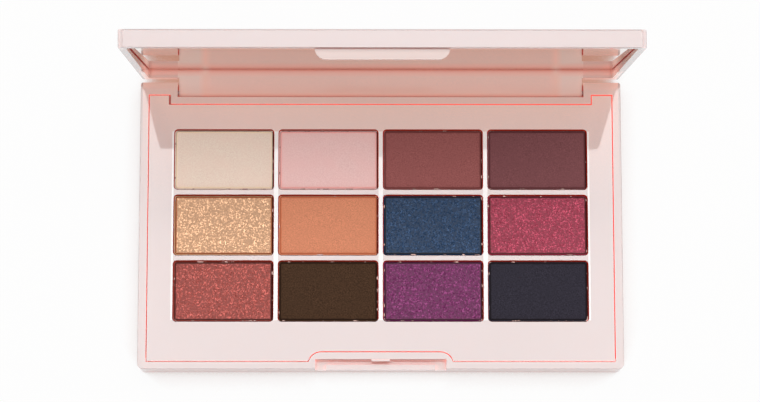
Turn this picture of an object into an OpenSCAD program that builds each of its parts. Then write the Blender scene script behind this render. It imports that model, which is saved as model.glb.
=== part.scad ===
// Twelve-pan eyeshadow palette with a hinged, mirrored lid.
// Origin: centre of the flat underside of the base. +X right, +Y to the hinge, +Z up.
// The lid is drawn standing open at open_angle; at 0 degrees it lies shut on the base.

/* [Case] */
// Width of the closed case, left to right
case_w = 136; // [132:0.5:170]
// Depth of the closed case, front to hinge side
case_d = 81.6; // [80:0.2:110]
// Height of the base, underside to rim
base_h = 10; // [9.5:0.1:14]
// Thickness of the lid
lid_t = 4.8; // [4.5:0.1:8]
// Gap between the two rims when the lid is shut
lid_gap = 0.15; // [0.1:0.05:0.3]
// Plan radius of the two front corners
front_corner_r = 1.5; // [1:0.1:3]
// Plan radius of the two hinge-side corners
rear_corner_r = 0.6; // [0.5:0.1:2]
// Rounding of the outer edges, under the base and on top of the lid
edge_r = 0.5; // [0.2:0.05:0.9]
// Rounding of the edges where the two rims meet
rim_r = 0.15; // [0.1:0.05:0.25]
// Thickness of the base's floor
floor_t = 1.4; // [1:0.1:1.8]

/* [Rim] */
// Width of the base's rim at the left and right
side_rim = 2.3; // [1.8:0.1:4]
// Width of the base's rim at the front
front_rim = 2; // [1.6:0.1:4]
// Thickness of the base behind the tray's two rear corners
ear_wall = 3.65; // [3.4:0.05:5]
// Wall between the hinge notch and the tray
notch_wall = 2; // [1.2:0.1:3]

/* [Tray] */
// Gap all round between the tray and the base
tray_gap = 0.25; // [0.1:0.05:0.4]
// Thickness of the tray's top plate
tray_t = 1.2; // [0.8:0.1:2]
// Thickness of the skirt that stands on the base's floor
skirt_t = 1; // [0.8:0.1:1.5]
// Thickness of the walls and floors of the wells
well_t = 0.9; // [0.6:0.1:1.1]
// Thickness of the ribs under the wells
rib_t = 0.8; // [0.6:0.1:1.2]
// Radius of the snap beads on the tray's sides
bead_r = 0.45; // [0.4:0.05:0.6]
// Length of each snap bead
bead_len = 12; // [6:1:20]
// Height of the snap beads over the base's floor
bead_z = 4.2; // [2:0.1:5]
// Clearance between a snap bead and its groove in the base
bead_gap = 0.06; // [0.03:0.01:0.1]

/* [Pans] */
// Pans from left to right
pan_cols = 4; // [2:1:4]
// Rows of pans from the hinge to the front
pan_rows = 3; // [2:1:3]
// Face of the tray beside the first and the last column of wells
side_margin = 7.05; // [5:0.05:12]
// Face of the tray behind the rear row of wells
rear_margin = 9.65; // [6:0.05:12]
// Face of the tray in front of the front row of wells
front_margin = 11; // [7:0.05:14]
// Height of a pan
pan_h = 3.2; // [2.5:0.1:5]
// Sheet thickness of a pan
pan_t = 0.25; // [0.2:0.05:0.4]
// Plan radius of a pan's corners
pan_corner_r = 0.9; // [0.6:0.1:2]
// Radius of the bend from a pan's wall to its floor
pan_bend_r = 0.6; // [0.5:0.05:1]
// Gap between a pan and its well
pan_gap = 0.25; // [0.15:0.05:0.4]
// Bar between two wells side by side
web_x = 1.15; // [0.8:0.05:3]
// Bar between two wells one behind the other
web_y = 1.3; // [0.8:0.05:3]
// Depth of a pan's rim below the tray's face
pan_sink = 0.8; // [0.1:0.05:1.2]
// Depth of the pressed powder below the pan's rim
powder_sink = 0.1; // [0.05:0.05:0.6]
// Rounding of the pressed powder's upper edge
powder_edge_r = 0.35; // [0.2:0.05:0.6]
// Thickness of the glue under a pan
glue_t = 0.15; // [0.1:0.05:0.3]
// Radius of the glue dot under a pan
glue_r = 4; // [2:0.5:6]

/* [Lid] */
// Width of the lid's rim at the left and right
lid_side_rim = 2.05; // [1.6:0.05:4]
// Width of the lid's rim over the hinge, also the thickness of the hinge block
lid_rear_rim = 4; // [3.8:0.05:4.2]
// Depth of the mirror's face below the lid's rim at the front
mirror_sink_front = 1; // [0.5:0.1:1.5]
// Depth of the mirror's face below the lid's rim at the hinge
mirror_sink_rear = 2.5; // [0.5:0.1:2.5]
// Thickness of the mirror glass
mirror_t = 1.1; // [0.7:0.1:1.2]
// Thickness of the adhesive sheet behind the mirror
tape_t = 0.15; // [0.1:0.05:0.2]
// Margin of the adhesive sheet inside the mirror's edge
tape_margin = 2; // [1:0.5:6]
// Gap all round between the mirror and its recess
mirror_gap = 0.3; // [0.1:0.05:0.4]
// Plan radius of the mirror's corners
mirror_corner_r = 0.5; // [0.3:0.1:2]

/* [Hinge] */
// Angle at which the lid stands open
open_angle = 84.3; // [0:0.1:100]
// Largest angle that the lid opens to
max_angle = 105; // [95:1:106]
// Width of the ears that hold the pins
ear_w = 10.4; // [8:0.1:14]
// Depth of the hinge notch between the ears
notch_d = 4.3; // [4.3:0.05:4.6]
// Distance of the pin's axis in front of the back face
pin_inset = 2.4; // [2.3:0.05:2.5]
// Distance of the pin's axis below the base's rim
pin_drop = 4.05; // [3.8:0.05:4.4]
// Radius of a hinge pin
pin_r = 0.75; // [0.5:0.05:0.8]
// Radial clearance between a pin and the lid's knuckle
pin_run = 0.06; // [0.03:0.01:0.1]
// Radial clearance between a pin and its ear, taken up by adhesive
pin_fix = 0.02; // [0.01:0.01:0.03]
// Depth of a pin's outer end inside the ear's side face
pin_end_sink = 0.3; // [0.1:0.1:1]
// Length of a pin inside the lid's knuckle
pin_reach = 6.5; // [4:0.5:8]
// Gap between each end of the hinge block and its ear
knuckle_end_gap = 0.3; // [0.15:0.05:0.5]
// Length of the solid knuckle at each end of the hinge block
knuckle_len = 7.5; // [5:0.5:10]
// Wall left on each side of the hinge block's core
core_wall = 1.2; // [0.8:0.1:1.6]

/* [Catch] */
// Width of the thumb recess in the base's front
recess_w = 36.7; // [24:0.1:50]
// Depth of the thumb recess, front to back
recess_d = 2.8; // [2.7:0.05:4]
// Depth of the recess's floor below the rim
recess_drop = 4.2; // [3.6:0.1:5]
// Width of the raised ledge in the recess
ledge_w = 30.6; // [20:0.1:34]
// Depth of the ledge, front to back
ledge_d = 1.5; // [1:0.05:1.5]
// Depth of the ledge's top below the rim
ledge_drop = 3; // [3:0.1:3.5]
// Wall between the recess and the tray
recess_wall = 1.9; // [1.4:0.1:3]
// Corner radius of that wall where the tray bends round it
recess_wall_r = 3.6; // [2:0.1:4.5]
// Gap between each end of the lid's tab and the recess
tab_end_gap = 0.95; // [0.3:0.05:2]
// Thickness of the tab
tab_t = 1; // [0.9:0.05:1.1]
// Length of the tab below the lid's rim, also its corner radius
tab_len = 2.9; // [2:0.1:2.9]
// Gap between the back of the tab and the recess's wall
tab_gap = 0.25; // [0.2:0.05:0.4]
// Width of the catch nub on the recess's wall
nub_w = 5.2; // [3:0.1:8]
// How far the nub stands out of the wall
nub_proud = 0.6; // [0.4:0.05:0.65]
// Height of the nub
nub_h = 1.3; // [0.8:0.1:2]
// Depth of the nub's top below the rim
nub_drop = 0.25; // [0.1:0.05:0.6]
// Clearance between the nub and the channel in the tab
nub_gap = 0.2; // [0.15:0.05:0.3]

/* [Hidden] */
// Overlap that keeps cuts and unions clean
eps = 0.02;
// How far a cut runs past a face, and how far one runs right out of the part
over = 1;
through = 50;
$fn = 64;

front_y = -case_d / 2;
back_y = case_d / 2;

// Tray pocket in the base, measured from the rims
pocket_half_w = case_w / 2 - side_rim;
pocket_front_y = front_y + front_rim;
pocket_back_y = back_y - ear_wall;
notch_half_w = case_w / 2 - ear_w;
step_half_w = notch_half_w + notch_wall;
step_y = back_y - notch_d - notch_wall;
recess_wall_half_w = recess_w / 2 + recess_wall;
recess_wall_y = front_y + recess_d + recess_wall;

// Wells fill the tray's face inside its margins; pans fill the wells, from the face down
grid_front_y = pocket_front_y + tray_gap + front_margin;
grid_back_y = pocket_back_y - tray_gap - rear_margin;
grid_y = (grid_front_y + grid_back_y) / 2;
well_w = (2 * (pocket_half_w - tray_gap - side_margin) - (pan_cols - 1) * web_x) / pan_cols;
well_d = (grid_back_y - grid_front_y - (pan_rows - 1) * web_y) / pan_rows;
pan_w = well_w - 2 * pan_gap;
pan_d = well_d - 2 * pan_gap;
well_r = pan_corner_r + pan_gap;
pitch_x = well_w + web_x;
pitch_y = well_d + web_y;
pan_rim_z = base_h - pan_sink;
pan_z = pan_rim_z - pan_h;
well_z = pan_z - glue_t;
grid_w = pan_cols * pitch_x - web_x + 2 * well_t;
grid_d = pan_rows * pitch_y - web_y + 2 * well_t;

// Hinge, about the pin's axis
pin_y = back_y - pin_inset;
pin_z = base_h - pin_drop;
knuckle_r = lid_rear_rim - pin_inset;
block_half_w = notch_half_w - knuckle_end_gap;
relief_angle = max_angle - 90;
pin_len = ear_w - pin_end_sink + knuckle_end_gap + pin_reach;

// Lid, drawn shut and then turned about the pins
lid_z = base_h + lid_gap;
tab_back_y = front_y + recess_d - tab_gap;
lid_front_rim = recess_d - tab_gap;
recess_lid_half_w = case_w / 2 - lid_side_rim;
mirror_tilt = atan((mirror_sink_rear - mirror_sink_front) / case_d);
mirror_half_w = recess_lid_half_w - mirror_gap;
mirror_front = lid_front_rim + mirror_gap;
mirror_rear = case_d - lid_rear_rim - mirror_gap;
tab_half_w = recess_w / 2 - tab_end_gap;

casing_pink = [0.93, 0.87, 0.87];
metal_grey = [0.72, 0.72, 0.73];
// Powder colours, row by row from the hinge, left to right
shades = [
    [0.89, 0.78, 0.72], [0.87, 0.71, 0.69], [0.54, 0.32, 0.31], [0.45, 0.27, 0.29],
    [0.87, 0.68, 0.55], [0.83, 0.53, 0.41], [0.22, 0.29, 0.39], [0.66, 0.29, 0.36],
    [0.67, 0.35, 0.33], [0.29, 0.21, 0.16], [0.49, 0.24, 0.40], [0.21, 0.20, 0.24]
];

pan_count = pan_cols * pan_rows;
function numbered(name, i) = str(name, i < 9 ? "0" : "", i + 1);

// ---------- shared shapes ----------

// Rectangle centred on X, standing on Y = 0, with its own radius low and high
module upright_profile(w, h, r_low, r_high) {
    translate([-w / 2, r_low]) square([w, h - r_low - r_high]);
    for (side = [-1, 1]) {
        translate([side * (w / 2 - r_low), r_low]) circle(r = r_low);
        translate([side * (w / 2 - r_high), h - r_high]) circle(r = r_high);
    }
    translate([-w / 2 + r_low, 0]) square([w - 2 * r_low, h / 2]);
    translate([-w / 2 + r_high, h / 2]) square([w - 2 * r_high, h / 2]);
}

// Rectangle centred on the origin with one radius in front and another behind
module plan_outline(w, d, r_front, r_back) {
    translate([0, -d / 2]) upright_profile(w, d, r_front, r_back);
}

// Slab on Z = 0 with rounded plan corners and rounded edges below and above
module soft_slab(w, d, h, r_front, r_back, r_low, r_high) {
    intersection() {
        linear_extrude(h) plan_outline(w, d, r_front, r_back);
        rotate([90, 0, 0])
            linear_extrude(d + over, center = true) upright_profile(w, h, r_low, r_high);
        rotate([90, 0, 90])
            linear_extrude(w + over, center = true) upright_profile(d, h, r_low, r_high);
    }
}

// Plan of the space for the tray; inset shrinks it evenly on every side
module pocket_plan(inset) {
    half_w = pocket_half_w - inset;
    y0 = pocket_front_y + inset;
    bend_r = recess_wall_r + inset;
    bend_x = recess_wall_half_w - recess_wall_r;
    difference() {
        translate([-half_w, y0]) square([2 * half_w, pocket_back_y - inset - y0]);
        // step round the hinge notch
        translate([-step_half_w - inset, step_y - inset])
            square([2 * (step_half_w + inset), through]);
        // bend round the thumb recess
        translate([-bend_x, y0 - through])
            square([2 * bend_x, recess_wall_y + inset - y0 + through]);
        for (side = [-1, 1])
            translate([side * bend_x, recess_wall_y - recess_wall_r]) circle(r = bend_r);
    }
}

// Puts children at the centre of one well, counted row by row from the hinge
module at_pan(i) {
    col = i % pan_cols;
    row = floor(i / pan_cols);
    x = (col - (pan_cols - 1) / 2) * pitch_x;
    y = grid_y + ((pan_rows - 1) / 2 - row) * pitch_y;
    translate([x, y, 0]) children();
}

module at_each_pan() {
    for (i = [0 : pan_count - 1]) at_pan(i) children();
}

// Turns the lid's parts about the pins, from shut to the given angle
module opened(angle) {
    translate([0, pin_y, pin_z])
        rotate([-angle, 0, 0])
            translate([0, -pin_y, -pin_z]) children();
}

// Frame on the mirror's face: Y runs from the lid's front edge to the hinge, Z into the lid
module on_mirror_plane() {
    translate([0, front_y, lid_z + mirror_sink_front]) rotate([mirror_tilt, 0, 0]) children();
}

// ---------- base ----------

module hinge_notch() {
    translate([-notch_half_w, back_y - notch_d, floor_t])
        cube([2 * notch_half_w, notch_d + through, base_h]);
}

// What is cut off the ears so that the lid's rim can swing past them
module ear_rounding() {
    translate([0, pin_y, pin_z]) difference() {
        translate([-case_w / 2 - over, 0, 0])
            cube([case_w + 2 * over, pin_inset + over, pin_drop + over]);
        rotate([0, 90, 0]) cylinder(r = pin_drop, h = case_w + 3 * over, center = true);
    }
}

module thumb_recess() {
    difference() {
        translate([-recess_w / 2, front_y - over, base_h - recess_drop])
            cube([recess_w, recess_d + over, recess_drop + over]);
        translate([-ledge_w / 2, front_y - 2 * over, 0])
            cube([ledge_w, ledge_d + 2 * over, base_h - ledge_drop]);
    }
}

// Catch nub: a short bar with its lower half chamfered, so that the tab rides over it
module catch_nub() {
    wall_y = front_y + recess_d;
    top_z = base_h - nub_drop;
    translate([-nub_w / 2, 0, 0]) rotate([90, 0, 90]) linear_extrude(nub_w) polygon([
        [wall_y + eps, top_z],
        [wall_y - nub_proud, top_z],
        [wall_y - nub_proud, top_z - nub_h / 2],
        [wall_y + eps, top_z - nub_h]
    ]);
}

module snap_beads(r) {
    for (side = [-1, 1], y = [-case_d / 4, case_d / 4])
        translate([side * (pocket_half_w - tray_gap), y, floor_t + bead_z])
            rotate([90, 0, 0]) cylinder(r = r, h = bead_len, center = true);
}

module base_shell() {
    color(casing_pink) {
        difference() {
            soft_slab(case_w, case_d, base_h, front_corner_r, rear_corner_r, edge_r, rim_r);
            translate([0, 0, floor_t]) linear_extrude(base_h) pocket_plan(0);
            hinge_notch();
            ear_rounding();
            thumb_recess();
            snap_beads(bead_r + bead_gap);
            translate([0, pin_y, pin_z]) rotate([0, 90, 0])
                cylinder(r = pin_r + pin_fix, h = case_w + over, center = true);
        }
        catch_nub();
    }
}

// ---------- tray ----------

module well_plan(margin) {
    plan_outline(well_w + 2 * margin, well_d + 2 * margin, well_r + margin, well_r + margin);
}

module tray_ribs() {
    rib_h = well_z - well_t - floor_t;
    for (col = [1 : pan_cols - 1])
        translate([(col - pan_cols / 2) * pitch_x - rib_t / 2, grid_y - grid_d / 2, floor_t])
            cube([rib_t, grid_d, rib_h]);
    for (row = [1 : pan_rows - 1])
        translate([-grid_w / 2, grid_y + (row - pan_rows / 2) * pitch_y - rib_t / 2, floor_t])
            cube([grid_w, rib_t, rib_h]);
}

module pan_tray() {
    color(casing_pink) {
        difference() {
            translate([0, 0, floor_t]) linear_extrude(base_h - floor_t) pocket_plan(tray_gap);
            // hollow underside, round the block of wells
            difference() {
                linear_extrude(base_h - tray_t) pocket_plan(tray_gap + skirt_t);
                translate([-grid_w / 2, grid_y - grid_d / 2, well_z - well_t])
                    cube([grid_w, grid_d, base_h]);
                tray_ribs();
            }
            at_each_pan() translate([0, 0, well_z]) linear_extrude(base_h) well_plan(0);
        }
        intersection() {
            snap_beads(bead_r);
            linear_extrude(base_h) square([case_w, case_d], center = true);
        }
    }
}

// ---------- pans and powders ----------

module pan(i) {
    color(metal_grey) at_pan(i) translate([0, 0, pan_z]) difference() {
        soft_slab(pan_w, pan_d, pan_h, pan_corner_r, pan_corner_r, pan_bend_r, pan_t / 4);
        translate([0, 0, pan_t]) soft_slab(
            pan_w - 2 * pan_t, pan_d - 2 * pan_t, pan_h,
            pan_corner_r - pan_t, pan_corner_r - pan_t, pan_bend_r - pan_t, pan_t / 4
        );
    }
}

// The pressed cake fills its pan and stops just under the rim
module powder(i) {
    color(shades[i]) at_pan(i) translate([0, 0, pan_z + pan_t]) soft_slab(
        pan_w - 2 * pan_t, pan_d - 2 * pan_t, pan_h - pan_t - powder_sink,
        pan_corner_r - pan_t, pan_corner_r - pan_t, pan_bend_r - pan_t, powder_edge_r
    );
}

module pan_glue() {
    color("ivory") at_each_pan() translate([0, 0, well_z]) cylinder(r = glue_r, h = glue_t);
}

// ---------- hinge pins ----------

module hinge_pin(side) {
    color(metal_grey)
        translate([side * (case_w / 2 - pin_end_sink - pin_len / 2), pin_y, pin_z])
            rotate([0, 90, 0]) cylinder(r = pin_r, h = pin_len, center = true);
}

// ---------- lid ----------

// Section of the hinge block about the pin's axis: round in front and below, with a flat
// behind that comes parallel to the notch's wall when the lid is fully open
module hinge_block_section() {
    top = pin_drop + lid_gap + lid_t / 2;
    relief_y = knuckle_r * sin(relief_angle);
    relief_z = -knuckle_r * cos(relief_angle);
    circle(r = knuckle_r);
    polygon([
        [-knuckle_r, 0], [-knuckle_r, top],
        [pin_inset, top], [pin_inset, relief_z + (pin_inset - relief_y) * tan(relief_angle)],
        [relief_y, relief_z], [0, 0]
    ]);
}

module hinge_block() {
    core_half_w = block_half_w - knuckle_len;
    difference() {
        translate([0, pin_y, pin_z]) rotate([90, 0, 90])
            linear_extrude(2 * block_half_w, center = true) hinge_block_section();
        translate([-core_half_w, back_y - lid_rear_rim + core_wall, pin_z - through])
            cube([2 * core_half_w, lid_rear_rim - 2 * core_wall, through + pin_drop + lid_gap]);
    }
}

module knuckle_bores() {
    bore_len = pin_reach + knuckle_end_gap;
    for (side = [-1, 1])
        translate([side * (block_half_w - bore_len / 2 + over), pin_y, pin_z])
            rotate([0, 90, 0])
                cylinder(r = pin_r + pin_run, h = bore_len + 2 * over, center = true);
}

// Recess for the mirror: upright walls and a floor that follows the mirror's tilt
module mirror_recess() {
    intersection() {
        translate([0, front_y + lid_front_rim, lid_z - over]) linear_extrude(through)
            upright_profile(2 * recess_lid_half_w, case_d - lid_front_rim - lid_rear_rim,
                mirror_corner_r, mirror_corner_r);
        on_mirror_plane() translate([-case_w / 2, 0, -through])
            cube([case_w, case_d, through + mirror_t + tape_t]);
    }
}

// Tab that drops into the thumb recess, with a channel behind it for the nub
module catch_tab() {
    channel_w = nub_w + 2 * nub_gap;
    channel_y = front_y + recess_d - nub_proud - nub_gap;
    difference() {
        translate([0, tab_back_y, lid_z]) rotate([90, 0, 0]) linear_extrude(tab_t) {
            difference() {
                union() {
                    translate([-tab_half_w + tab_len, -tab_len])
                        square([2 * (tab_half_w - tab_len), tab_len + lid_t / 2]);
                    for (side = [-1, 1])
                        translate([side * (tab_half_w - tab_len), 0]) circle(r = tab_len);
                }
                translate([-through, mirror_sink_front / 2]) square([2 * through, through]);
            }
        }
        translate([-channel_w / 2, channel_y, lid_z - tab_len - over])
            cube([channel_w, through, tab_len + over]);
    }
}

module lid_shell() {
    color(casing_pink) opened(open_angle) {
        difference() {
            union() {
                translate([0, 0, lid_z])
                    soft_slab(case_w, case_d, lid_t, front_corner_r, rear_corner_r, rim_r, edge_r);
                hinge_block();
            }
            mirror_recess();
            knuckle_bores();
        }
        catch_tab();
    }
}

// Plate on the mirror plane, shrunk by margin on every side
module mirror_plate(z, t, margin) {
    on_mirror_plane() translate([0, mirror_front + margin, z]) linear_extrude(t)
        upright_profile(2 * (mirror_half_w - margin), mirror_rear - mirror_front - 2 * margin,
            mirror_corner_r, mirror_corner_r);
}

module mirror() {
    color("lightsteelblue") opened(open_angle) mirror_plate(0, mirror_t, 0);
}

module mirror_tape() {
    color("whitesmoke") opened(open_angle) mirror_plate(mirror_t, tape_t, tape_margin);
}

base_shell();
pan_tray();
pan_glue();
for (i = [0 : pan_count - 1]) {
    pan(i);
    powder(i);
}
hinge_pin(-1);  // hinge_pin_left
hinge_pin(1);  // hinge_pin_right
lid_shell();
mirror();
mirror_tape();
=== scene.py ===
import bpy
import math
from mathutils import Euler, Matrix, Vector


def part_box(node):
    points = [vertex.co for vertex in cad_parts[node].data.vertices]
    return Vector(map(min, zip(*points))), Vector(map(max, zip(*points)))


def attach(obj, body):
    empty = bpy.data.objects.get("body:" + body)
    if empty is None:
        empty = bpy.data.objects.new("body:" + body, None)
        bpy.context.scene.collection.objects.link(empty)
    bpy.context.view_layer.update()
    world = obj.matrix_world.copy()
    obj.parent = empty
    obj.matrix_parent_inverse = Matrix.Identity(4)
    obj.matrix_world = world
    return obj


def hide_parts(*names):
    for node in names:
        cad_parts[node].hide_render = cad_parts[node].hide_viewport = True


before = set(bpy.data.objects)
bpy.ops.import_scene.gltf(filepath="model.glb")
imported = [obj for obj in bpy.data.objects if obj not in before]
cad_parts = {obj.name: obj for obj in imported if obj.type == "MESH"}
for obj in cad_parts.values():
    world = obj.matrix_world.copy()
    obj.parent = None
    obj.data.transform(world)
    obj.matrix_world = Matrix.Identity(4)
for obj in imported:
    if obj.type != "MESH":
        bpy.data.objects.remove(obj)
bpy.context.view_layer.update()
mm = 0.001
scene = bpy.context.scene
scene.view_settings.view_transform = "Standard"
print("frame loaded:", len(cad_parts), "solids")


def linear(hexColour, gain=1.0):
    # sRGB hex to the linear values that shaders want, lighter or darker by the gain
    parts = [int(hexColour[i:i + 2], 16) / 255 for i in (1, 3, 5)]
    values = [c / 12.92 if c <= 0.04045 else ((c + 0.055) / 1.055) ** 2.4 for c in parts]
    return [min(1, v * gain) for v in values] + [1.0]


def addNode(tree, kind, inputs=None, **settings):
    # one node: settings are its own options, inputs are values or sockets to link from
    node = tree.nodes.new(kind)
    node.location = (190 * (len(tree.nodes) % 12), -260 * (len(tree.nodes) // 12))
    for option, value in settings.items():
        setattr(node, option, value)
    for key, value in (inputs or {}).items():
        if isinstance(value, bpy.types.NodeSocket):
            tree.links.new(value, node.inputs[key])
        else:
            node.inputs[key].default_value = value
    return node


def maths(tree, operation, a, b=0.0):
    return addNode(tree, "ShaderNodeMath", {0: a, 1: b}, operation=operation).outputs[0]


def product(tree, value, *others):
    for other in others:
        value = maths(tree, "MULTIPLY", value, other)
    return value


def without(tree, value, mask, share=1.0):
    # takes this share of the value away where the mask is 1
    return product(tree, value, maths(tree, "SUBTRACT", 1.0, product(tree, mask, share)))


def ramp(tree, value, start, stop, first=0.0, last=1.0):
    # goes from first to last while the value goes from start to stop, level outside
    return addNode(tree, "ShaderNodeMapRange", {"Value": value, "From Min": start, "From Max": stop,
                                                "To Min": first, "To Max": last}).outputs[0]


def blend(tree, share, a, b):
    # colour a where the share is 0, colour b where it is 1
    return addNode(tree, "ShaderNodeMix", {0: share, 6: a, 7: b}, data_type="RGBA").outputs[2]


def noise(tree, place, size, detail):
    return addNode(tree, "ShaderNodeTexNoise", {
        "Vector": place, "Scale": 1 / size, "Detail": detail}).outputs[0]


def axes(tree, place):
    return list(addNode(tree, "ShaderNodeSeparateXYZ", {0: place}).outputs)


def inBox(tree, spot, box):
    # 1 inside a plan box given in mm, 0 outside
    sides = []
    for value, (low, high) in zip(spot, box):
        away = maths(tree, "ABSOLUTE", maths(tree, "ADD", value, -(low + high) / 2 * mm))
        sides.append(maths(tree, "LESS_THAN", away, (high - low) / 2 * mm))
    return product(tree, *sides)


def openness(tree, reach, samples):
    # 1 on an open face, less where other faces within this reach shut it in
    return addNode(tree, "ShaderNodeAmbientOcclusion", {"Distance": reach}, samples=samples).outputs["AO"]


def bumped(tree, height, strength, depth):
    return addNode(tree, "ShaderNodeBump", {
        "Height": height, "Strength": strength, "Distance": depth}).outputs[0]


def addScaled(tree, total, part, amount):
    # a colour or direction plus this amount of another
    scaled = addNode(tree, "ShaderNodeVectorMath", {0: part, "Scale": amount}, operation="SCALE").outputs[0]
    return addNode(tree, "ShaderNodeVectorMath", {0: total, 1: scaled}, operation="ADD").outputs[0]


def startMaterial(name):
    material = bpy.data.materials.new(name)
    material.use_nodes = True
    tree = material.node_tree
    tree.nodes.clear()
    place = addNode(tree, "ShaderNodeTexCoord").outputs["Object"]
    return material, tree, place


def closeMaterial(material, tree, shader):
    addNode(tree, "ShaderNodeOutputMaterial", {"Surface": shader.outputs[0]})
    return material


def dress(obj, *materials):
    # a CAD node keeps its mesh, its slots take the finish
    while len(obj.data.materials) < len(materials):
        obj.data.materials.append(None)
    for i, material in enumerate(materials):
        obj.data.materials[i] = material


# the camera looks down on the open palette from just in front of it
viewpoint = {
    "place": (-4.57 * mm, -113.45 * mm, 776.03 * mm),
    "turn": (8.9121, -0.3240, -0.0174),     # degrees
    "lens": 130.32,
    "sensor": 36,
    "nearest": 0.01,
}
cameraData = bpy.data.cameras.new("productCamera")
cameraData.sensor_width = viewpoint["sensor"]
cameraData.sensor_fit = "HORIZONTAL"
cameraData.lens = viewpoint["lens"]
cameraData.clip_start = viewpoint["nearest"]
camera = bpy.data.objects.new("productCamera", cameraData)
camera.location = viewpoint["place"]
camera.rotation_euler = Euler([math.radians(a) for a in viewpoint["turn"]])
scene.collection.objects.link(camera)
scene.camera = camera
print("camera placed")


# what the three mouldings share; a pair of pairs is a plan box in mm, a Shade pair is a range of openness
casingLook = {
    "open": "#CBB9B7",          # polished face in the open
    "flowSize": 26 * mm,        # faint streaks left by the melt
    "flowSpread": 0.015,
    "paintedCornerTint": "#F5C0B1",      # painted corner light: milky styrene colours the light it passes on, so inner corners are painted coral
    "corner": 40 * mm,
    "cornerShade": (0.5, 0.85),
    "inner": "#FFD9CD",         # the same light, painted as a glow where walls face each other
    "innerStrength": 0.225,
    "innerShade": (0.58, 0.95),
    "innerStart": (0.4, 1.0),
    "gapShadeAndGlow": "#BC3020",          # painted shade and glow on the walls of a narrow gap
    "deepStrength": 0.28,
    "joint": 1.2 * mm,
    "deepShade": (0.2, 0.45),
    "glow": ("#FF7A64", "#FF3A20"),     # painted glow for light carried into a narrow joint, paler on the left
    "glowStrength": 8.0,
    "glowAcross": (-66 * mm, 66 * mm),
    "glowFall": (4.0, 2.7),
    "glowMouth": 0.5,
    "glowBottom": 2 * mm,
    "glowFront": "#FFD6CE",
    "frontJoint": -37.6 * mm,
    "step": ((-60.03, -59.42), (34.3, 37.1)),       # painted shade: the joint looks wider and darker at the left step, so a dark strip and a dim glow are painted there
    "stepTop": 12 * mm,
    "stepShadeColour": "#8C180C",
    "stepGlow": "#A81408",
    "handlingSize": 4 * mm,
    "handlingSpread": (0.3, 0.7),
    "roughness": (0.02, 0.035),
    "waveSize": 9 * mm,
    "waveStrength": 0.12,
    "waveDepth": 0.05 * mm,
    "ior": 1.56,
    "specular": 0.5,
    "scatter": 0.12,
    "scatterDepth": (1.0, 0.25, 0.15),
    "scatterScale": 0.6 * mm,
}
# "out" are the places where a joint does not glow: the thumb recess, the hinge notch and the mirror's edge
baseJoint = {
    "out": [((-19.5, 19.5), (-42, -37.9)), ((-57.9, 57.9), (36.2, 42))],
    "recess": ((-19.5, 19.5), (-42, -37.9)),
    "recessFloor": 5.5 * mm,
    "recessTint": 0.8,          # share of the coral tint that the open recess loses
    "recessInner": 0.9,
    "recessGlow": "#FF9488",
    "recessFall": 1.3,
    "recessStrength": 0.62,
    "outside": ((-67.4, 67.4), (-40.5, 60)),
    "outsideTint": 0.5,
    "backFace": 40.2 * mm,
    "backTop": 5 * mm,
}
trayJoint = {
    # painted glow where walls face each other, stronger in the tray
    "inner": "#FFDACB",
    "innerStrength": 0.32,
    "wells": ((-58.9, 58.9), (-28.2, 27.9)),
    "wellFrom": 9.95 * mm,
    "wellFull": 9.45 * mm,
    "wellShadeColour": "#A01A10",
    "wellGlow": 0.85,           # share of the glow that the wells swallow
    "bars": ((-58.9, 58.9), (-27.1, 26.6)),
    "pitch": 29.49 * mm,
    "bar": 0.62 * mm,
    "barLightColour": "#E9E3E2",
}
lidJoint = {
    # painted shade: the lid is a little darker than the base, as its end wall stands in more light
    "open": "#C6B4B2",
    "out": [((-70, 70), (-60, 60))],
    "hingeTop": 40 * mm,
    "lean": 0.1,                # the open lid's back face, as y against z
    "back": 47.3 * mm,
    "end": 67.3 * mm,
    "blockTop": 12 * mm,
    "knuckle": (49.9 * mm, 57.7 * mm),
    "knuckleLightColour": "#EACBC1",
    "core": "#FAC0B0",
    "coreWidth": 1.9 * mm,
    "corner": "#DCB0A6",
    "cornerDeep": 0.8,
    "sill": (42.8 * mm, 44.6 * mm),
    "sillLightColour": "#FFA490",
    "freeEnd": 80 * mm,
    "edge": (66.4 * mm, 67.4 * mm),
    "edgeHighlightColour": "#F2DFDD",
    "tab": ((-17.6, 17.6), (30, 34.8)),
    "tabShadeColour": "#C6ADA6",
}


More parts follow.
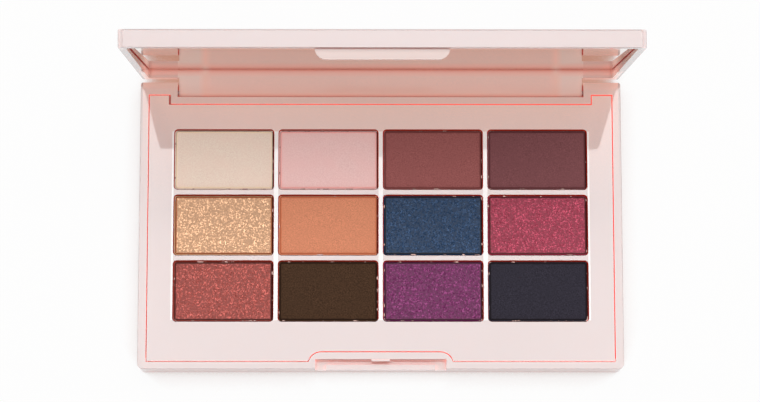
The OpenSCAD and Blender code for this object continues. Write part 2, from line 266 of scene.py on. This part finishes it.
def glossStyrene(name, look, joint):
    # styrene from a polished mould: high gloss, slightly milky; the warm light in its corners and thin gaps
    # is painted, as coral tints and glow
    material, tree, place = startMaterial(name)
    spot = axes(tree, place)
    x, y, z = spot
    far = openness(tree, look["corner"], samples=4)
    near = openness(tree, look["joint"], samples=4)
    inside = ramp(tree, far, *look["cornerShade"], 1.0, 0.0)
    nook = ramp(tree, far, *look["innerShade"], 1.0, 0.0)
    narrow = ramp(tree, near, *look["deepShade"], 1.0, 0.0)
    dull = narrow
    if "recess" in joint:
        # the recess is open to the front, so it keeps less of the painted tints and glow and stays paler than
        # a closed corner
        inRecess = product(tree, inBox(tree, spot, joint["recess"]),
                           maths(tree, "GREATER_THAN", z, joint["recessFloor"]))
        inside = without(tree, inside, inRecess, joint["recessTint"])
        nook = without(tree, nook, inRecess, joint["recessInner"])
        narrow = without(tree, narrow, inRecess)
        # the outer faces keep only half the painted corner tint, seen near the floor, and no painted glow
        outer = maths(tree, "SUBTRACT", 1.0, inBox(tree, spot, joint["outside"]))
        inside = without(tree, inside, outer, joint["outsideTint"])
        nook = without(tree, nook, outer)
        behind = product(tree, maths(tree, "GREATER_THAN", y, joint["backFace"]),
                         maths(tree, "LESS_THAN", z, joint["backTop"]))
        nook = without(tree, nook, behind)
    if "hingeTop" in joint:
        # the painted corner tint and glow stay on the inner side by the hinge, the only part closed in when
        # the lid stands open
        side = maths(tree, "ABSOLUTE", x)
        lean = maths(tree, "ADD", y, product(tree, z, joint["lean"]))
        within = product(tree, maths(tree, "LESS_THAN", lean, joint["back"]),
                         maths(tree, "LESS_THAN", side, joint["end"]))
        low = product(tree, ramp(tree, z, joint["hingeTop"] / 2, joint["hingeTop"], 1.0, 0.0), within)
        inside = product(tree, inside, low)
        nook = product(tree, nook, low)
    face = joint.get("open", look["open"])
    melt = blend(tree, noise(tree, place, look["flowSize"], detail=2.0), linear(face, 1 + look["flowSpread"]),
                 linear(face, 1 - look["flowSpread"]))
    # painted corner light and shade: coral where walls shut the face in
    colour = blend(tree, inside, melt, linear(look["paintedCornerTint"]))
    # painted glow in a joint: strongest just inside its mouth, gone deeper down and on open faces
    fall = ramp(tree, x, *look["glowAcross"], *look["glowFall"])
    mouth = product(tree, maths(tree, "POWER", maths(tree, "SUBTRACT", 1.0, near), fall),
                    maths(tree, "POWER", near, look["glowMouth"]),
                    maths(tree, "GREATER_THAN", z, look["glowBottom"]))
    for box in joint.get("out", []):
        mouth = without(tree, mouth, inBox(tree, spot, box))
    if "wells" in joint:
        # the wells hold the tins; their walls are painted dark red as painted shade, lose most of the painted
        # glow and stay dark
        wells = inBox(tree, spot, joint["wells"])
        well = product(tree, wells, ramp(tree, z, joint["wellFull"], joint["wellFrom"], 1.0, 0.0))
        colour = blend(tree, well, colour, linear(joint["wellShadeColour"]))
        mouth = without(tree, mouth, wells, joint["wellGlow"])
        nook = without(tree, nook, well)
        dull = maths(tree, "MAXIMUM", dull, well)
        # painted light: the thin bars between the wells of a row are painted paler, as they let light through
        # from both sides
        bar = maths(tree, "LESS_THAN", maths(tree, "PINGPONG", x, joint["pitch"] / 2), joint["bar"])
        top = maths(tree, "GREATER_THAN", z, joint["wellFrom"])
        bars = product(tree, inBox(tree, spot, joint["bars"]), bar, top)
        colour = blend(tree, bars, colour, linear(joint["barLightColour"]))
    if "knuckle" in joint:
        # painted light: the solid ends of the hinge block pass less light than its cored middle, so they are
        # painted paler and less coral
        first, last = joint["knuckle"]
        bottom = product(tree, maths(tree, "LESS_THAN", z, joint["blockTop"]), within)
        solid = product(tree, maths(tree, "GREATER_THAN", side, first),
                        maths(tree, "LESS_THAN", side, last), bottom)
        colour = blend(tree, solid, colour, linear(joint["knuckleLightColour"]))
        # painted shade: the block's ends beyond the knuckles are painted brown-coral and keep less of the
        # painted gap shade
        end = product(tree, maths(tree, "GREATER_THAN", side, last), bottom)
        colour = blend(tree, end, colour, linear(joint["corner"]))
        narrow = without(tree, narrow, end, joint["cornerDeep"])
        # painted light: the sill by the hinge is painted bright coral
        sill = product(tree, ramp(tree, y, *joint["sill"]), bottom)
        colour = blend(tree, sill, colour, linear(joint["sillLightColour"]))
        # painted highlight: the rounded corners of the free end are painted paler, for the light they catch
        # from the white table
        atEnd = maths(tree, "GREATER_THAN", z, joint["freeEnd"])
        edge = product(tree, ramp(tree, side, *joint["edge"]), atEnd)
        colour = blend(tree, edge, colour, linear(joint["edgeHighlightColour"]))
        # painted shade: the tab at the free end is painted darker
        tab = product(tree, inBox(tree, spot, joint["tab"]), atEnd)
        colour = blend(tree, tab, colour, linear(joint["tabShadeColour"]))
        # painted light: a coral stripe is painted along the inner edge of each knuckle
        fromCore = maths(tree, "ABSOLUTE", maths(tree, "SUBTRACT", side, first))
        core = product(tree, ramp(tree, fromCore, 0.0, joint["coreWidth"], 1.0, 0.0), bottom)
        colour = blend(tree, core, colour, linear(joint["core"]))
    # painted shade on the walls of narrow gaps
    colour = blend(tree, narrow, colour, linear(look["gapShadeAndGlow"]))
    # painted shade: a dark strip in the joint at the left step
    step = product(tree, inBox(tree, spot, look["step"]), maths(tree, "LESS_THAN", z, look["stepTop"]))
    colour = blend(tree, step, colour, linear(look["stepShadeColour"]))
    # painted glow: emission in joints, gaps, nooks and at the step stands in for light carried through the
    # styrene
    nook = product(tree, nook, ramp(tree, near, *look["innerStart"]))
    glow = blend(tree, ramp(tree, x, *look["glowAcross"]), linear(look["glow"][0]), linear(look["glow"][1]))
    glow = blend(tree, maths(tree, "LESS_THAN", y, look["frontJoint"]), glow, linear(look["glowFront"]))
    glow = blend(tree, step, glow, linear(look["stepGlow"]))
    light = addScaled(tree, (0, 0, 0), glow, product(tree, mouth, look["glowStrength"]))
    light = addScaled(tree, light, linear(look["gapShadeAndGlow"])[:3], product(tree, narrow, look["deepStrength"]))
    light = addScaled(tree, light, linear(joint.get("inner", look["inner"]))[:3],
                      product(tree, nook, joint.get("innerStrength", look["innerStrength"])))
    # painted glow on the shut back wall of the recess
    if "recess" in joint:
        shut = maths(tree, "POWER", maths(tree, "SUBTRACT", 1.0, near), joint["recessFall"])
        light = addScaled(tree, light, linear(joint["recessGlow"])[:3],
                          product(tree, inRecess, shut, joint["recessStrength"]))
    handled = noise(tree, place, look["handlingSize"], detail=4.0)
    rough = ramp(tree, handled, *look["handlingSpread"], *look["roughness"])
    wave = noise(tree, place, look["waveSize"], detail=1.0)
    normal = bumped(tree, wave, look["waveStrength"], look["waveDepth"])
    shader = addNode(tree, "ShaderNodeBsdfPrincipled", {
        "Base Color": colour, "Roughness": rough, "IOR": look["ior"], "Normal": normal,
        "Specular IOR Level": product(tree, maths(tree, "SUBTRACT", 1.0, dull), look["specular"]),
        "Subsurface Weight": look["scatter"], "Subsurface Radius": look["scatterDepth"],
        "Subsurface Scale": look["scatterScale"], "Emission Color": light,
        "Emission Strength": 1.0}, subsurface_method="BURLEY")
    return closeMaterial(material, tree, shader)


for node, finish, joint in (("base_shell", "pinkBaseStyrene", baseJoint),
                            ("lid_shell", "pinkLidStyrene", lidJoint),
                            ("pan_tray", "pinkTrayStyrene", trayJoint)):
    dress(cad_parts[node], glossStyrene(finish, casingLook, joint))
print("casing finished")


pinWire = {"tones": ("#B9BABD", "#A3A4A8"), "roughness": (0.17, 0.37), "grain": 0.3 * mm,
           "lineStrength": 0.15, "lineDepth": 0.02 * mm}
mirrorPlate = {"silver": "#DFDAD4", "hazeSize": 12 * mm, "roughness": (0.004, 0.02)}
films = {
    "mirror_tape": {"name": "foamTape", "tones": ("#F1EFEA", "#E4E1DA"), "cell": 0.6 * mm, "roughness": 0.8},
    "pan_glue": {"name": "setGlue", "tones": ("#E9E2CF", "#DDD3BB"), "cell": 0.6 * mm, "roughness": 0.35},
}


def drawnSteel(look):
    # drawn steel wire: soft metallic with fine lines
    material, tree, place = startMaterial("drawnSteelWire")
    lines = noise(tree, place, look["grain"], detail=3.0)
    shader = addNode(tree, "ShaderNodeBsdfPrincipled", {
        "Base Color": blend(tree, lines, linear(look["tones"][0]), linear(look["tones"][1])),
        "Metallic": 1.0, "Roughness": ramp(tree, lines, 0.0, 1.0, *look["roughness"]),
        "Normal": bumped(tree, lines, look["lineStrength"], look["lineDepth"])})
    return closeMaterial(material, tree, shader)


def silveredGlass(look):
    # back-silvered float glass, near-perfect reflection with a trace of haze
    material, tree, place = startMaterial("silveredGlass")
    haze = noise(tree, place, look["hazeSize"], detail=3.0)
    shader = addNode(tree, "ShaderNodeBsdfPrincipled", {
        "Base Color": linear(look["silver"]), "Metallic": 1.0,
        "Roughness": ramp(tree, haze, 0.0, 1.0, *look["roughness"])})
    return closeMaterial(material, tree, shader)


def plainFilm(look):
    # hidden layers: foam tape, set glue
    material, tree, place = startMaterial(look["name"])
    cells = noise(tree, place, look["cell"], detail=2.0)
    shader = addNode(tree, "ShaderNodeBsdfPrincipled", {
        "Base Color": blend(tree, cells, linear(look["tones"][0]), linear(look["tones"][1])),
        "Roughness": look["roughness"]})
    return closeMaterial(material, tree, shader)


pinSteel = drawnSteel(pinWire)
for node in ("hinge_pin_left", "hinge_pin_right"):
    dress(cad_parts[node], pinSteel)
dress(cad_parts["mirror"], silveredGlass(mirrorPlate))
for node, look in films.items():
    dress(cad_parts[node], plainFilm(look))
print("mirror, pins and films finished")


tin = {
    # the metal tones are tinted rose, a painted reflection of the pink case
    "bright": "#B5968E",
    "dull": "#7A5E58",
    "grain": 0.5 * mm,
    "roughness": 0.4,
    "rim": 0.16 * mm,
    # painted shade: the tin's outer wall is painted dark red, as it stands in the shaded gap of the well
    "wall": "#6A1710",
    "smear": 1.6 * mm,          # size of the dusty patches on the rim
    "bare": (0.34, 0.42),
    "dusty": 0.9,
    "lit": 1.1,
    "shadow": "#3C120D",        # the outer far and right edges sit in the well's shade
    "rightShade": (0.42 * mm, 0.22 * mm),
    "backShade": (0.22 * mm, 0.08 * mm),
    "specular": 0.15,
}


def dustedTin(shade, look, low, high):
    # stamped tinplate whose cut rim keeps the dust of the pressing; its wall and the shade on its far and
    # right rim edges are painted
    material, tree, place = startMaterial("tinWith" + shade["name"])
    x, y, z = axes(tree, place)
    lines = noise(tree, place, look["grain"], detail=3.0)
    metal = blend(tree, lines, linear(look["bright"]), linear(look["dull"]))
    nearRim = ramp(tree, z, high.z - look["rim"], high.z - look["rim"] / 2)
    worn = ramp(tree, noise(tree, place, look["smear"], detail=3.0), *look["bare"])
    toRight = ramp(tree, x, *(high.x - inset for inset in look["rightShade"]))
    toBack = ramp(tree, y, *(high.y - inset for inset in look["backShade"]))
    # the dust is painted a little lighter as lit, and in painted shade on the far and right edges
    shaded = maths(tree, "MAXIMUM", toRight, toBack)
    dusty = blend(tree, shaded, linear(shade["colour"], look["lit"]), linear(look["shadow"]))
    colour = blend(tree, nearRim, linear(look["wall"]), blend(tree, worn, metal, dusty))
    metallic = product(tree, maths(tree, "SUBTRACT", 1.0, worn), nearRim)
    shader = addNode(tree, "ShaderNodeBsdfPrincipled", {
        "Base Color": colour, "Metallic": metallic,
        "Roughness": ramp(tree, metallic, 0.0, 1.0, look["dusty"], look["roughness"]),
        "Specular IOR Level": look["specular"]})
    return closeMaterial(material, tree, shader)


powderLook = {
    "grainRoughness": 0.65,
    "grainSpread": (0.3, 0.7),
    "cloudSize": 5 * mm,
    "cloudTone": 0.95,
    "strayGrain": 1.2 * mm,
    "ragged": 0.4 * mm,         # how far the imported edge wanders
    "paintedEdge": (-0.4 * mm, -0.15 * mm),
    "bumpStrength": 0.35,
    "bumpDepth": 0.03 * mm,
    "plate": 0.3 * mm,          # mica plates are drawn this large so that they still show
    "plateLean": 0.7,
    "plateRoughness": 0.35,
    "plateTone": 1.15,
}
finishes = {
    # grain: speck size, flake: share of mica, glint: how metallic the mica is
    "matte": {"grain": 0.36 * mm, "roughness": 0.92, "specular": 0.18},
    "shimmer": {"grain": 0.26 * mm, "roughness": 0.62, "specular": 0.4, "flake": 0.55, "glint": 0.55},
}
shades = [
    # the rows run from the hinge forwards, left to right; speckle: how far specks leave the base tone; edge:
    # painted shade along the tin's wall, a painted highlight on Cream
    {"name": "Cream", "slot": "powder_cream", "finish": "matte",
     "colour": "#FFE2D1", "edge": "#FFE8CA", "speckle": 0.18},
    {"name": "PalePink", "slot": "powder_pale_pink", "finish": "matte",
     "colour": "#FFCDC9", "edge": "#FFBAB5", "speckle": 0.18},
    {"name": "MauveBrown", "slot": "powder_mauve_brown", "finish": "matte",
     "colour": "#9B5B59", "edge": "#804644", "speckle": 0.42},
    {"name": "PlumBrown", "slot": "powder_plum_brown", "finish": "matte",
     "colour": "#7F4E51", "edge": "#6A3C3F", "speckle": 0.48},
    {"name": "Gold", "slot": "powder_gold", "finish": "shimmer",
     "colour": "#C79B79", "edge": "#A65F38", "speckle": 0.36},
    {"name": "Terracotta", "slot": "powder_terracotta", "finish": "matte",
     "colour": "#D88C6B", "edge": "#CA7553", "speckle": 0.34},
    {"name": "Navy", "slot": "powder_navy", "finish": "shimmer",
     "colour": "#1B324E", "edge": "#0B1421", "speckle": 0.56},
    {"name": "Raspberry", "slot": "powder_raspberry", "finish": "shimmer",
     "colour": "#903347", "edge": "#5E1B23", "speckle": 0.42},
    {"name": "RoseCopper", "slot": "powder_rose_copper", "finish": "shimmer",
     "colour": "#90433C", "edge": "#541D16", "speckle": 0.46},
    {"name": "DarkBrown", "slot": "powder_dark_brown", "finish": "matte",
     "colour": "#453021", "edge": "#2C1B10", "speckle": 0.85},
    {"name": "Purple", "slot": "powder_purple", "finish": "shimmer",
     "colour": "#62214E", "edge": "#3E0E29", "speckle": 0.36},
    {"name": "BlueBlack", "slot": "powder_blue_black", "finish": "matte",
     "colour": "#302D37", "edge": "#1E1B21", "speckle": 0.85},
]


def pressedPowder(shade, look, finish, low, high):
    # talc and mica pressed in a tin: chalky with a fine grain, mica plates lie nearly flat
    material, tree, place = startMaterial("pressed" + shade["name"])
    spot = axes(tree, place)
    grain = addNode(tree, "ShaderNodeTexNoise", {"Vector": place, "Scale": 1 / finish["grain"], "Detail": 3.0,
                                                 "Roughness": look["grainRoughness"]}).outputs[0]
    specks = blend(tree, ramp(tree, grain, *look["grainSpread"]),
                   linear(shade["colour"], 1 - shade["speckle"]),
                   linear(shade["colour"], 1 + shade["speckle"]))
    body = blend(tree, noise(tree, place, look["cloudSize"], detail=2.0), specks,
                 linear(shade["colour"], look["cloudTone"]))
    # painted edge: along the tin's wall the cake is painted in its edge tone, a painted shade, on Cream a
    # painted highlight
    reach = []
    for k in range(2):
        away = maths(tree, "ABSOLUTE", maths(tree, "SUBTRACT", spot[k], (low[k] + high[k]) / 2))
        reach.append(maths(tree, "SUBTRACT", away, (high[k] - low[k]) / 2))
    stray = product(tree, noise(tree, place, look["strayGrain"], detail=3.0), look["ragged"])
    fromWall = maths(tree, "ADD", stray, maths(tree, "MAXIMUM", reach[0], reach[1]))
    paintedEdge = ramp(tree, fromWall, *look["paintedEdge"])
    body = blend(tree, paintedEdge, body, linear(shade["edge"]))
    bump = bumped(tree, grain, look["bumpStrength"], look["bumpDepth"])
    inputs = {"Base Color": body, "Roughness": finish["roughness"],
              "Specular IOR Level": finish["specular"], "Normal": bump}
    if "flake" in finish:
        plate = addNode(tree, "ShaderNodeTexVoronoi", {
            "Vector": place, "Scale": 1 / look["plate"]}).outputs["Color"]
        lot = addNode(tree, "ShaderNodeSeparateColor", {0: plate}).outputs[2]
        chosen = maths(tree, "GREATER_THAN", lot, 1 - finish["flake"])
        there = addNode(tree, "ShaderNodeMath", {0: chosen, 1: paintedEdge}, operation="SUBTRACT",
                        use_clamp=True).outputs[0]
        lift = addNode(tree, "ShaderNodeVectorMath", {0: plate, 1: (0.5, 0.5, 0.5)},
                       operation="SUBTRACT").outputs[0]
        tilted = addScaled(tree, bump, lift, look["plateLean"])
        unit = addNode(tree, "ShaderNodeVectorMath", {0: tilted}, operation="NORMALIZE").outputs[0]
        normal = addNode(tree, "ShaderNodeMix", {0: there, 4: bump, 5: unit}, data_type="VECTOR").outputs[1]
        inputs.update({
            "Base Color": blend(tree, there, body, linear(shade["colour"], look["plateTone"])),
            "Metallic": product(tree, there, finish["glint"]), "Normal": normal,
            "Roughness": ramp(tree, there, 0.0, 1.0, finish["roughness"], look["plateRoughness"])})
    shader = addNode(tree, "ShaderNodeBsdfPrincipled", inputs)
    return closeMaterial(material, tree, shader)


cake = {
    "columns": 91,
    "rows": 61,
    "gather": 1.7,              # draws rows and columns of the grid towards the edge
    "corner": 0.65 * mm,
    "edge": 0.35 * mm,
    "crown": 0.05 * mm,
    "ripple": 0.05 * mm,
    "rippleSize": 2.6 * mm,
    "seedStep": 3.7,
    "weld": 0.002 * mm,
}


def cakeTree():
    # a pressed cake: rounded rectangle, soft edge, faint crown and press ripple, closed underneath
    tree = bpy.data.node_groups.new("pressedCake", "GeometryNodeTree")
    sockets = tree.interface
    for name in ("Width", "Depth", "Corner", "Edge", "Floor", "Top", "Crown", "Ripple", "Ripple Size",
                 "Seed"):
        sockets.new_socket(name, in_out="INPUT", socket_type="NodeSocketFloat")
    sockets.new_socket("Centre", in_out="INPUT", socket_type="NodeSocketVector")
    sockets.new_socket("Finish", in_out="INPUT", socket_type="NodeSocketMaterial")
    sockets.new_socket("Cake", in_out="OUTPUT", socket_type="NodeSocketGeometry")
    given = addNode(tree, "NodeGroupInput").outputs

    def sub(a, b):
        return maths(tree, "SUBTRACT", a, b)

    def joined(x, y, z):
        return addNode(tree, "ShaderNodeCombineXYZ", {0: x, 1: y, 2: z}).outputs[0]

    grid = addNode(tree, "GeometryNodeMeshGrid", {"Size X": 2.0, "Size Y": 2.0, "Vertices X": cake["columns"],
                                                  "Vertices Y": cake["rows"]}).outputs["Mesh"]
    spot = axes(tree, addNode(tree, "GeometryNodeInputPosition").outputs[0])
    places, borders, unitPlaces = [], [], []
    for raw, size in ((spot[0], given["Width"]), (spot[1], given["Depth"])):
        close = maths(tree, "POWER", sub(1.0, maths(tree, "ABSOLUTE", raw)), cake["gather"])
        unitPlaces.append(sub(1.0, close))
        half = product(tree, size, 0.5)
        out = product(tree, unitPlaces[-1], half)
        inner = sub(half, given["Corner"])
        borders.append(maths(tree, "MAXIMUM", sub(out, inner), 0.0))
        places.append((maths(tree, "SIGN", raw), maths(tree, "MINIMUM", out, inner)))
    # pulls the square corner onto a round one
    reach = maths(tree, "MAXIMUM", borders[0], borders[1])
    length = maths(tree, "SQRT", maths(tree, "ADD", product(tree, borders[0], borders[0]),
                                       product(tree, borders[1], borders[1])))
    pull = maths(tree, "DIVIDE", reach, maths(tree, "MAXIMUM", length, 1e-9))
    flat = [product(tree, side, maths(tree, "ADD", inner, product(tree, border, pull)))
            for (side, inner), border in zip(places, borders)]
    # rounds the edge down into the tin
    fromEdge = sub(given["Corner"], reach)
    fall = maths(tree, "DIVIDE", maths(tree, "MAXIMUM", sub(given["Edge"], fromEdge), 0.0), given["Edge"])
    arc = maths(tree, "SQRT", maths(tree, "MAXIMUM", sub(1.0, product(tree, fall, fall)), 0.0))
    drop = product(tree, given["Edge"], sub(1.0, arc))
    crown = product(tree, given["Crown"], *(sub(1.0, product(tree, unit, unit)) for unit in unitPlaces))
    wave = addNode(tree, "ShaderNodeTexNoise", {
        "Vector": joined(flat[0], flat[1], 0.0), "W": given["Seed"], "Detail": 2.0,
        "Scale": maths(tree, "DIVIDE", 1.0, given["Ripple Size"])}, noise_dimensions="4D").outputs[0]
    ripple = product(tree, sub(wave, 0.5), given["Ripple"], sub(1.0, fall))
    height = maths(tree, "ADD", sub(given["Top"], drop), maths(tree, "ADD", crown, ripple))
    top = addNode(tree, "GeometryNodeSetPosition", {
        "Geometry": grid, "Position": joined(flat[0], flat[1], height)}).outputs[0]
    border = addNode(tree, "FunctionNodeCompare", {
        2: addNode(tree, "GeometryNodeInputMeshEdgeNeighbors").outputs[0], 3: 1},
        data_type="INT", operation="EQUAL").outputs[0]
    down = sub(given["Floor"], sub(given["Top"], given["Edge"]))
    wall = addNode(tree, "GeometryNodeExtrudeMesh", {
        "Mesh": top, "Selection": border, "Offset": joined(0.0, 0.0, down), "Offset Scale": 1.0},
        mode="EDGES").outputs
    loop = addNode(tree, "GeometryNodeMeshToCurve", {
        "Mesh": wall["Mesh"], "Selection": wall["Top"]}).outputs[0]
    base = addNode(tree, "GeometryNodeFillCurve", {0: loop}, mode="NGONS").outputs[0]
    sunk = addNode(tree, "GeometryNodeSetPosition", {
        "Geometry": base, "Offset": joined(0.0, 0.0, given["Floor"])}).outputs[0]
    turned = addNode(tree, "GeometryNodeFlipFaces", {"Mesh": sunk}).outputs[0]
    whole = addNode(tree, "GeometryNodeJoinGeometry")
    for part in (turned, wall["Mesh"]):
        tree.links.new(part, whole.inputs[0])
    sewn = addNode(tree, "GeometryNodeMergeByDistance", {
        "Geometry": whole.outputs[0], "Distance": cake["weld"]}).outputs[0]
    moved = addNode(tree, "GeometryNodeSetPosition", {"Geometry": sewn, "Offset": given["Centre"]}).outputs[0]
    smooth = addNode(tree, "GeometryNodeSetShadeSmooth", {"Geometry": moved}).outputs[0]
    real = addNode(tree, "GeometryNodeRealizeInstances", {"Geometry": smooth}).outputs[0]
    painted = addNode(tree, "GeometryNodeSetMaterial", {
        "Geometry": real, "Material": given["Finish"]}).outputs[0]
    addNode(tree, "NodeGroupOutput", {"Cake": painted})
    return tree


def growMesh(name, tree, values):
    # runs the tree once and keeps the result as a plain mesh
    seed = bpy.data.objects.new(name + "Seed", bpy.data.meshes.new(name + "Seed"))
    scene.collection.objects.link(seed)
    modifier = seed.modifiers.new("grow", "NODES")
    modifier.node_group = tree
    for label, value in values.items():
        modifier[tree.interface.items_tree[label].identifier] = value
    bpy.context.view_layer.update()
    shape = seed.evaluated_get(bpy.context.evaluated_depsgraph_get())
    mesh = bpy.data.meshes.new_from_object(shape)
    seed.modifiers.remove(modifier)
    bpy.data.objects.remove(seed)
    piece = bpy.data.objects.new(name, mesh)
    scene.collection.objects.link(piece)
    return piece


pressed = cakeTree()
for i, shade in enumerate(shades):
    node = "powder_%02d" % (i + 1)
    low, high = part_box(node)
    powder = growMesh("cake" + shade["name"], pressed, {
        "Width": high.x - low.x, "Depth": high.y - low.y, "Corner": cake["corner"], "Edge": cake["edge"],
        "Floor": low.z, "Top": high.z - cake["crown"], "Crown": cake["crown"], "Ripple": cake["ripple"],
        "Ripple Size": cake["rippleSize"], "Seed": cake["seedStep"] * i,
        "Centre": ((low.x + high.x) / 2, (low.y + high.y) / 2, 0),
        "Finish": pressedPowder(shade, powderLook, finishes[shade["finish"]], low, high)})
    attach(powder, "base")
    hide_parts(node)
    pan = "pan_%02d" % (i + 1)
    dress(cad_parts[pan], dustedTin(shade, tin, *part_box(pan)))
print("powders pressed:", len(shades))


sweep = {
    "reach": 6.0,
    "fibre": 2 * mm,
    "tones": ("#DDDBDA", "#D9D7D6"),
    "under": "#E8A893",         # painted light: the floor close under the case is painted coral for light that comes through the case
    "underReach": 14 * mm,
    "clear": (0.32, 0.6),
    "slot": ((-67, 67), (38, 45)),
    "slotCovered": (0.36, 0.46),
    "slotLight": "#C9927D",
    "white": "#FFFFFF",
    "shine": 0.94,
}


def paperFloor(look):
    # white sweep: reads as white itself and keeps the soft shadow under the case, which is painted coral
    material, tree, place = startMaterial("whiteSweep")
    fibre = noise(tree, place, look["fibre"], detail=2.0)
    white = blend(tree, fibre, linear(look["tones"][0]), linear(look["tones"][1]))
    above = openness(tree, look["underReach"], samples=8)
    # painted shade: the floor strip between the back face and the open lid is painted rose-brown where shut
    # in, as it only gets light that passed through the casing
    slot = product(tree, inBox(tree, axes(tree, place), look["slot"]),
                   ramp(tree, above, *look["slotCovered"], 1.0, 0.0))
    free = maths(tree, "MAXIMUM", ramp(tree, above, *look["clear"]), slot)
    paper = addNode(tree, "ShaderNodeBsdfDiffuse", {"Color": blend(tree, free, linear(look["under"]), white)})
    glow = addNode(tree, "ShaderNodeEmission", {
        "Color": blend(tree, slot, linear(look["white"]), linear(look["slotLight"])), "Strength": 1.0})
    rays = addNode(tree, "ShaderNodeLightPath").outputs
    seen = maths(tree, "MAXIMUM", maths(tree, "MAXIMUM", rays["Is Camera Ray"], rays["Is Glossy Ray"]),
                 rays["Is Transmission Ray"])
    share = product(tree, seen, free, look["shine"])
    shader = addNode(tree, "ShaderNodeMixShader", {0: share, 1: paper.outputs[0], 2: glow.outputs[0]})
    return closeMaterial(material, tree, shader)


floorMesh = bpy.data.meshes.new("floor")
corners = [(-1, -1), (1, -1), (1, 1), (-1, 1)]
floorMesh.from_pydata([(x * sweep["reach"], y * sweep["reach"], 0) for x, y in corners], [], [(0, 1, 2, 3)])
floor = bpy.data.objects.new("floor", floorMesh)
scene.collection.objects.link(floor)
floor.data.materials.append(paperFloor(sweep))

lamps = {
    # a large soft box above and behind, a little to the right, and weak wide ones at the back and front
    "softBox": {"at": (0.16, 0.53, 2.3), "size": (1.7, 1.6), "power": 41, "mirrored": True},
    "rearFill": {"at": (0, 2.6, 0.9), "size": (2.4, 1.4), "power": 22, "mirrored": False},
    "frontFill": {"at": (-0.2, -2.2, 1.9), "size": (2.4, 2.0), "power": 26.5, "mirrored": False},
}
for name, lamp in lamps.items():
    data = bpy.data.lights.new(name, "AREA")
    data.shape = "RECTANGLE"
    data.size, data.size_y = lamp["size"]
    data.energy = lamp["power"]
    lampObject = bpy.data.objects.new(name, data)
    lampObject.location = lamp["at"]
    # every lamp is aimed at the middle of the case
    lampObject.rotation_euler = (-Vector(lamp["at"])).to_track_quat("-Z", "Y").to_euler()
    lampObject.visible_camera = False
    lampObject.visible_glossy = lamp["mirrored"]
    scene.collection.objects.link(lampObject)

# each row: the z of a direction where a ramp starts and stops, then its two strengths
studio = {
    "ceiling": (0.15, 0.5, 1.0, 0.5),       # reflections see a dimmer ceiling above a white horizon
    "ambient": (0.0, 0.6, 0.6, 0.2),        # diffuse light comes mostly from low down
    "white": "#FFFFFF",
}
world = bpy.data.worlds.new("studio")
world.use_nodes = True
worldTree = world.node_tree
worldTree.nodes.clear()
rays = addNode(worldTree, "ShaderNodeLightPath").outputs
height = axes(worldTree, addNode(worldTree, "ShaderNodeTexCoord").outputs["Generated"])[2]
mirrored = product(worldTree, rays["Is Glossy Ray"], ramp(worldTree, height, *studio["ceiling"]))
seen = maths(worldTree, "MAXIMUM", rays["Is Camera Ray"], mirrored)
strength = ramp(worldTree, seen, 0.0, 1.0, ramp(worldTree, height, *studio["ambient"]), 1.0)
sky = addNode(worldTree, "ShaderNodeBackground", {"Color": linear(studio["white"]), "Strength": strength})
addNode(worldTree, "ShaderNodeOutputWorld", {"Surface": sky.outputs[0]})
scene.world = world
print("floor and lamps set")
